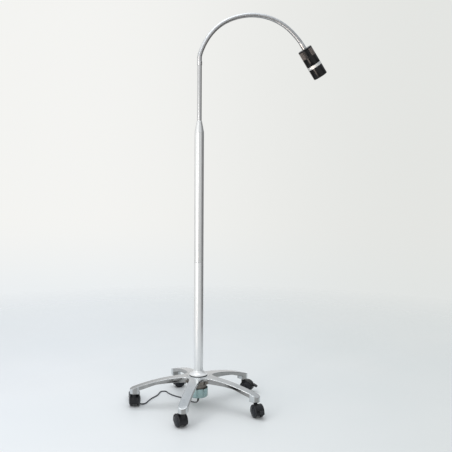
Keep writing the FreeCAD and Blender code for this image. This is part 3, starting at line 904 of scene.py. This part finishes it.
def rear_housing():
    """The black housing, with the places of its ribbed panels marked for a paler painted sheen."""
    around = 288
    stations = [(5.0, 0.0), (14.0, 0.0), (24.0, 0.0), (28.2, 0.0), (30.2, 0.4), (31.6, 1.5)]
    stations += [(32.3, 2.8), (HEAD_R, 4.2)]
    z = 5.0
    while z < 46:
        stations.append((HEAD_R, z))
        z += 0.42
    end = RING_Z
    stations += [(HEAD_R, 48), (HEAD_R, 62), (HEAD_R, end - 1.2), (HEAD_R - 0.3, end - 0.4)]
    stations += [(HEAD_R - 0.7, end), (30.0, end), (30.0, 60.0), (30.0, 5.0), (5.0, 5.0)]

    def on_skin(measure):
        """The same measure, but 0 away from the skin that is carved."""
        return lambda r, degrees, z: measure(degrees, z) if r == HEAD_R and 4.5 < z < 47 else 0.0

    points, faces = lathe(stations, around, on_skin(housing_carving))
    shell = make("ribbed_housing", points, faces, [HEAD_BLACK], HEAD, sharp_deg=45)
    share = on_skin(rib_share)
    mark(shell, "ribbed", [share(r, 360 * k / around, z) for r, z in stations for k in range(around)])
    dress(shell, "head", ["rear_housing"])


def knurled_ring():
    """A silver ring: plain chamfered edges and a crossed knurl between them."""
    z0, z1 = RING_Z, RING_END_Z
    knurled_r = 32.2
    stations = [(28.6, z0), (31.8, z0), (32.3, z0 + 0.5), (32.3, z0 + 1.4)]
    steps = 34
    for k in range(steps + 1):
        stations.append((knurled_r, z0 + 1.6 + (z1 - z0 - 3.2) * k / steps))
    stations += [(32.3, z1 - 1.4), (32.3, z1 - 0.5), (31.8, z1), (28.6, z1)]

    def knurl(radius, degrees, z):
        if radius != knurled_r:
            return 0.0
        across = KNURL_TEETH * degrees / 360
        lines = [math.sin(math.pi * (across + side * (z - z0) / 2.1)) for side in (1, -1)]
        return -0.25 + 0.5 * min(abs(line) for line in lines)

    points, faces = lathe(stations, 6 * KNURL_TEETH, knurl)
    ring = make("knurled_ring", points, faces, [RING_SILVER], HEAD, sharp_deg=60)
    dress(ring, "head", ["silver_ring"])


def lamp_front():
    """The focusing barrel, and inside it the lens in its holder."""
    start = RING_END_Z + 0.4
    end = HEAD_LENGTH
    back = RING_Z - 4
    barrel = [
        (26.5, back), (28.4, back), (28.4, start), (32.1, start), (HEAD_R, start + 0.5),
        (HEAD_R, end - 1.6), (31.2, end), (27.6, end), (26.6, end - 1.2), (25.2, end - 5),
        (26.5, end - 8),
    ]
    turned_part("focus_barrel", barrel, HEAD_BLACK, "barrel", "front_barrel",
                place=HEAD, steps=160)
    z = LENS_Z
    carrier = [
        (22, z - 3), (26.4, z - 3), (26.4, z + 12.6), (25.9, z + 13), (24.1, z + 13),
        (24.1, z + 0.1), (22, z),
    ]
    turned_part("lens_holder", carrier, HEAD_BLACK, "focus", "lens_carrier",
                place=HEAD, soft=0.2)
    lens = [(0, z), (23.9, z), (23.9, z + 3)]
    lens += arc_through((23.7, z + 3.3), (13, z + 9.6), (1.5, z + 11.8), 20)
    lens += [(0, z + 11.8)]
    turned_part("plano_lens", lens, LENS_GLASS, "focus", "lens",
                place=HEAD, soft=0.2)


def power_button():
    """A domed rubber button in a shallow ring, on the head's far side."""
    turn = Matrix.Rotation(math.radians(-90), 4, "X")
    place = HEAD @ Matrix.Translation((0, 0, 50.0)) @ turn
    crown = arc_through((5.9, 33.2), (3.4, 34.1), (0.9, 34.4), 8)
    profile = [(0, 27.1), (5.7, 27.1), (5.95, 27.4), (5.95, 32.9)] + crown
    profile += [(0.6, 34.2), (0, 34.15)]
    turned_part("rubber_button", profile, BUTTON_RUBBER, "button",
                "power_button", place=place, soft=0.0, steps=48)


def head_ferrule():
    """The smooth end of the gooseneck, screwed into the housing's rear wall."""
    start = -NECK_FERRULE
    profile = [(0, start - 2), (9.0, start - 2), (9.4, start), (10.1, start), (10.4, start + 0.8)]
    profile += [(10.4, -7.2), (10.1, -6.8), (10.1, -6.0), (10.4, -5.6), (10.4, -0.1)]
    profile += [(5, -0.1), (5, 8.9), (0, 8.9)]
    turned_part("neck_end_ferrule", profile, CHROME, "head", "head_ferrule",
                place=HEAD, soft=0.3)


# ---- cord ----
CORD_R = 2.5
# the free stretch, from the strain relief to where the hank begins
CORD_ROUTE = [
    (0, 0, 36), (0, 0, 15), (-12, 13, 5), (-31, 33, 2.5), (-54, 63, 2.5), (-79, 91, 2.5),
    (-101, 105, 2.5), (-123, 129, 2.5), (-140, 154, 2.5), (-149, 180, 2.5), (-173, 180, 2.5),
    (-180, 154, 2.5), (-187, 119, 2.5), (-203, 93, 2.5), (-216, 66, 2.5), (-225, 34, 2.5),
    (-232, 13, 2.5), (-242, 6.5, 2.5), (-253.2, 8.0, 2.5), (-260.85, 16.2, 2.5),
    (-262.5, 33, 2.5),
]
# from the hank's last turn up and round into the plug, in the hank's own frame
PLUG_LEAD = [
    (4, 15.8, 23.2), (-6, 14.5, 25), (-14.5, 7, 27.5), (-16.5, -4, 29.8),
    (-12, -14.5, 31.4), (-3.3, -18.1, 31.9), (8, -14, 31.9), (14, -11.8, 31.9),
]
HANK_PLACE = Matrix.Translation((-285.4, 54.2, 0)) @ Matrix.Rotation(math.radians(95.6), 4, "Z")
HANK_STRAIGHT = 54.0
HANK_INNER_R = 15.5
HANK_LAYERS = 5
COLUMN_STEP = 5.2
LAYER_STEP = 5.05
TURN_SHIFT = 0.13
POINTS_PER_TURN = 28


def racetrack(phase, radius):
    """A point on two straight runs joined by two half circles. Phase 1 is a whole turn."""
    half_circle = math.pi * radius
    s = (phase % 1.0) * 2 * (HANK_STRAIGHT + half_circle)
    if s >= HANK_STRAIGHT + half_circle:
        x, y = racetrack(phase - 0.5, radius)
        return HANK_STRAIGHT - x, -y
    if s < HANK_STRAIGHT:
        return s, -radius
    a = (s - HANK_STRAIGHT) / radius
    return HANK_STRAIGHT + radius * math.sin(a), -radius * math.cos(a)


def hank_turns():
    """The hank's turns, two side by side in each layer, out and in by turns."""
    slots = []
    for layer in range(HANK_LAYERS):
        pair = [(1, layer), (0, layer)]
        slots += pair if layer % 2 == 0 else pair[::-1]
    turns = len(slots) * (1 - TURN_SHIFT)
    points = []
    for k in range(int(turns * POINTS_PER_TURN)):
        t = k / POINTS_PER_TURN
        column, layer = slots[0]
        for number in range(1, len(slots)):
            done = eased((t - number * (1 - TURN_SHIFT)) / TURN_SHIFT)
            column += done * (slots[number][0] - slots[number - 1][0])
            layer += done * (slots[number][1] - slots[number - 1][1])
        x, y = racetrack(t, HANK_INNER_R + column * COLUMN_STEP)
        points.append((x, y, CORD_R + layer * LAYER_STEP))
    return points


def cord_curve():
    """One smooth round line through the whole route."""
    curve = bpy.data.curves.new("mains_cord", "CURVE")
    curve.dimensions = "3D"
    spline = curve.splines.new("NURBS")
    route = [Vector(p) for p in CORD_ROUTE]
    route += [HANK_PLACE @ Vector(p) for p in hank_turns() + PLUG_LEAD]
    spline.points.add(len(route) - 1)
    for point, place in zip(spline.points, route):
        point.co = (*(place * MM), 1)
    spline.order_u = 3
    spline.use_endpoint_u = True
    curve.resolution_u = 6
    curve.bevel_depth = CORD_R * MM
    curve.bevel_resolution = 5
    curve.use_fill_caps = True
    curve.materials.append(SHEATH)
    return in_scene("mains_cord", curve)


def bare_line(cord):
    """The cord's own line as points in millimetres, read from its spline."""
    bare = bpy.data.objects.new("bare_line", cord.data.copy())
    bare.data.bevel_depth = 0
    bare.data.use_fill_caps = False
    mesh = bpy.data.meshes.new_from_object(bare)
    line = [v.co / MM for v in mesh.vertices]
    bpy.data.meshes.remove(mesh)
    bpy.data.curves.remove(bare.data)
    return line


def strain_relief(line):
    """A tapered, grooved sleeve along the cord's first stretch."""
    length = 23.0
    step = 0.25
    along = np.cumsum([0] + [(b - a).length for a, b in zip(line, line[1:])])
    count = int(length / step)
    around = 32

    def on_line(s):
        return Vector([float(np.interp(s, along, [p[k] for p in line])) for k in range(3)])

    points = []
    for i in range(count + 1):
        s = i * step
        centre = on_line(s)
        direction = (on_line(s + 0.5) - centre).normalized()
        side = direction.orthogonal().normalized() if i == 0 else side
        side = (side - direction * side.dot(direction)).normalized()
        other = direction.cross(side)
        taper = 5.4 - 2.2 * max(0.0, (s - 3.5) / (length - 3.5))
        groove = 0.55 * eased(math.sin(2 * math.pi * (s - 4) / 3.2) * 2) if 4 < s < 20 else 0.0
        radius = max(taper - groove, CORD_R + 0.25)
        if i in (0, count):
            radius = min(radius, CORD_R + 0.3) if i else radius - 0.5
        for k in range(around):
            x, y = polar(radius, 360 * k / around)
            points.append(centre + side * x + other * y)
    faces = tube_faces(count + 1, around)
    relief = make("flex_relief", points, faces, [SEAL_RUBBER], sharp_deg=60)
    dress(relief, "root", ["strain_relief"])


def rounded_section(half_y, half_z, corner, steps=5):
    """A rounded rectangle, as (y, z) points."""
    corner = min(corner, half_y * 0.98, half_z * 0.98)
    points = []
    for quarter, (sy, sz) in enumerate(((1, 1), (-1, 1), (-1, -1), (1, -1))):
        cy, cz = sy * (half_y - corner), sz * (half_z - corner)
        for k in range(steps + 1):
            y, z = polar(corner, 90 * (quarter + k / steps))
            points.append((cy + y, cz + z))
    return points


PLUG_Z = 31.9
PLUG_LENGTH = 33.0
PIN_OFFSET = 9.3


def plug():
    """A flat two-pin plug with a grooved grip and round nickel pins."""
    place = HANK_PLACE @ Matrix.Translation((8, -14, PLUG_Z))
    place = place @ Matrix.Rotation(math.radians(20), 4, "Z")
    points = []
    places = np.arange(0.0, PLUG_LENGTH + 0.01, 0.5)
    for x in places:
        spread = eased(x / 15.0)
        half_y = 4.2 + 10.6 * spread
        half_z = 3.9 + 2.5 * eased(x / 9.0)
        if 14 < x < 27:
            half_y -= 0.55 * (0.5 - 0.5 * math.cos(2 * math.pi * (x - 14) / 2.6))
        drawn_in = max(0.0, (x - 31) * 0.5, (1 - x) * 0.8)
        section = rounded_section(half_y - drawn_in, half_z - drawn_in, 3.4)
        points += [(float(x), y, z) for y, z in section]
    parts = [(points, tube_faces(len(places), len(section)), 0)]
    for side in (-1, 1):
        pin = [(0, 32), (2, 32), (2, 51.2), (1.5, 52.6), (0, 53)]
        collar = [(0, 32), (3.0, 32), (3.0, 33.8), (2.1, 34.1), (0, 34.1)]
        for shape, material in ((softened(pin, 0.5, closed=False), 1), (collar, 0)):
            turned_points, turned_faces = lathe(shape, 28)
            moved = [(z, side * PIN_OFFSET + x, y) for x, y, z in turned_points]
            parts.append((moved, turned_faces, material))
    all_points, all_faces, materials = [], [], []
    for part_points, part_faces, material in parts:
        first = len(all_points)
        all_points += part_points
        all_faces += [tuple(first + i for i in face) for face in part_faces]
        materials += [material] * len(part_faces)
    body = make("mains_plug", all_points, all_faces, [PLUG_PLASTIC, STEEL], place, 40)
    body.data.polygons.foreach_set("material_index", materials)
    return dress(body, "root", ["plug"])


def hank_strap():
    """A hook-tape strap drawn round the hank, its free end lying back over itself."""
    half_y, height = 24.0, 26.2
    loop = [(y, z + height / 2) for y, z in rounded_section(half_y, height / 2, 5.0, 6)]
    start = 3
    path = loop[start:] + loop[:start + 12]
    x0, x1 = 46.8, 53.7
    points = []
    for i, (y, z) in enumerate(path):
        centre = Vector((y, z - height / 2))
        lift = 0.55 if i >= len(loop) else 0.0
        outward = centre.normalized()
        for thick in (0.0, 0.8):
            shift = outward * (thick + lift)
            floor = max(z + shift.y, 0.05 + thick * 0.5)
            for x in (x0, x1):
                points.append((x, y + shift.x, floor))
    strap = make("hook_strap", points, strip_faces(len(path)), [STRAP], HANK_PLACE, 50)
    return dress(strap, "root", ["cord_tie"])


def mains_cord():
    """The cord with its relief, its plug and the strap round what is put away."""
    cord = cord_curve()
    dress(cord, "root", ["cord_tube", "cord_hank"])
    line = bare_line(cord)
    strain_relief(line)
    with_pieces = [plug(), hank_strap()]


# ---- studio ----
CAMERA_BACK = 2.84142
CAMERA_HEIGHT = 0.98883
CAMERA_DOWN_DEG = 4.074
CAMERA_RIGHT_DEG = 2.3464
CAMERA_ROLL_DEG = 0.39
LENS_MM = 52.65


def camera():
    """The photo's viewpoint."""
    data = bpy.data.cameras.new("camera")
    data.lens = LENS_MM
    data.sensor_width = 36.0
    data.clip_start = 0.05
    data.clip_end = 60
    place = Matrix.Translation((0, -CAMERA_BACK, CAMERA_HEIGHT))
    turns = ((-CAMERA_RIGHT_DEG, "Z"), (90 - CAMERA_DOWN_DEG, "X"), (CAMERA_ROLL_DEG, "Z"))
    for degrees, axis in turns:
        place = place @ Matrix.Rotation(math.radians(degrees), 4, axis)
    bpy.context.scene.camera = in_scene("camera", data, place)


def studio_floor():
    """A pale floor that thins out into the backdrop far from the object, and sooner
    in reflections."""
    rim = 96
    points = [(*polar(6000, 360 * k / rim), 0) for k in range(rim)]
    disc = make("studio_floor", points, [tuple(range(rim))], [])
    disc.location.z = -0.0003
    f = Finish("floor_paper", Specular_IOR_Level=0.25)
    cloud = f.noise(1.3, 2, 0.5)
    # painted light: the floor is painted lighter and bluer on the left and darker on the right, as
    # the fall of light from the lamps at the left
    left = f.ramp(cloud, [(0.3, (0.80, 0.83, 0.855)), (0.7, (0.83, 0.85, 0.87))])
    right = f.ramp(cloud, [(0.3, (0.74, 0.77, 0.765)), (0.7, (0.77, 0.79, 0.78))])
    f.colour(f.mixed(f.band(f.split(f.where)["X"], -0.9, 0.9), left, right))
    f.roughness(f.noise(3, 2, 0.5), 0.45, 0.6)
    f.bump(f.noise(900, 2, 0.5), 0.02, 0.0002)
    away = f.node("VectorMath", {0: f.where}, operation="LENGTH").outputs["Value"]
    mirrored = f.node("LightPath", {}).outputs["Is Glossy Ray"]
    thin = f.math("MULTIPLY", mirrored, f.band(away, 0.6, 1.9))
    gone = f.math("MAXIMUM", f.band(away, 0.9, 3.3), thin)
    clear = f.node("BsdfTransparent", {})
    mix = f.node("MixShader", {0: gone, 1: f.shader.outputs[0], 2: clear.outputs[0]})
    f.links.new(mix.outputs[0], f.nodes["Material Output"].inputs["Surface"])
    disc.data.materials.append(f.material)


# how bright the room's walls are, by degrees to the right of where the front faces
WALLS = [
    (-180, 0.78), (-152, 0.40), (-134, 0.62), (-112, 1.0), (-60, 1.10), (-20, 0.95), (-4, 0.70),
    (10, 0.66), (24, 0.80), (48, 0.66), (64, 0.30), (84, 0.15), (125, 0.13), (152, 0.45), (180, 0.78),
]
WALL_TINT = (1.0, 0.995, 0.985)
# towards a warm lamp low at the front left, whose glow lies along the black head
LOW_LAMP = Vector((-0.625, -0.638, -0.460))


def world():
    """A pale backdrop, and for the reflections a studio that is darker on the right."""
    made = bpy.data.worlds.new("studio")
    bpy.context.scene.world = made
    w = Tree(made)
    w.nodes.clear()
    direction = w.node("TexCoord", {}).outputs["Generated"]
    split = w.split(direction)
    x, y, z = split["X"], split["Y"], split["Z"]

    def shared(value, low, high):
        return w.band(value, low, high, kind="SMOOTHSTEP")

    turn = w.math("ARCTAN2", x, w.math("MULTIPLY", y, -1.0))
    stops = [
        ((degrees + 180) / 360, tuple(bright * c for c in WALL_TINT)) for degrees, bright in WALLS
    ]
    walls = w.ramp(w.band(turn, -math.pi, math.pi), stops, "EASE")
    high = w.mixed(shared(z, 0.28, 0.70), walls, (0.74, 0.77, 0.80))
    room = w.mixed(shared(z, -0.45, -0.25), (0.13, 0.11, 0.095), high)
    lamp = {0: direction, 1: LOW_LAMP.normalized()}
    near = w.node("VectorMath", lamp, operation="DOT_PRODUCT").outputs["Value"]
    glow = shared(near, math.cos(math.radians(15)), math.cos(math.radians(9)))
    room = w.mixed(glow, room, (7.2, 6.2, 5.5))
    # painted light on the backdrop: lighter on the left and darker on the right, as the fall of light
    # from the lamps at the left; darker and bluer low down
    across = shared(x, -0.2, 0.35)
    upper = w.mixed(across, (0.905, 0.905, 0.885), (0.775, 0.785, 0.762))
    lower = w.mixed(across, (0.815, 0.855, 0.880), (0.750, 0.775, 0.765))
    seen = w.node("Background", {"Color": w.mixed(shared(z, -0.22, -0.05), lower, upper)})
    felt = w.node("Background", {"Color": room})
    by_camera = w.node("LightPath", {}).outputs["Is Camera Ray"]
    mix = w.node("MixShader", {0: by_camera, 1: felt.outputs[0], 2: seen.outputs[0]})
    w.node("OutputWorld", {"Surface": mix.outputs[0]})


def soft_light(name, place, target, size, power, colour):
    """A rectangular area light that faces a target and is not seen itself."""
    data = bpy.data.lights.new(name, "AREA")
    data.shape = "RECTANGLE"
    data.size, data.size_y = size
    data.energy = power
    data.color = colour
    turn = (Vector(target) - Vector(place)).to_track_quat("-Z", "Y").to_matrix().to_4x4()
    obj = in_scene(name, data, Matrix.Translation(place) @ turn)
    obj.visible_camera = False


def studio():
    """The two lamps, the floor and the world round the light."""
    bpy.context.scene.view_settings.view_transform = "Standard"
    soft_light("key", (-1.65, -2.0, 1.2), (0, 0, 0.8), (0.5, 1.5), 11, (1.0, 0.97, 0.94))
    soft_light("top", (-0.5, 0.1, 3.4), (0, 0, 0), (2.6, 2.6), 36, (0.97, 0.985, 1.0))
    studio_floor()
    world()


# ---- the whole light ----
camera()
mains_cord()
inner_parts()
star_base()
hub()
driver_cup()
castors()
column()
arm()
gooseneck()
rear_housing()
knurled_ring()
lamp_front()
power_button()
head_ferrule()
studio()
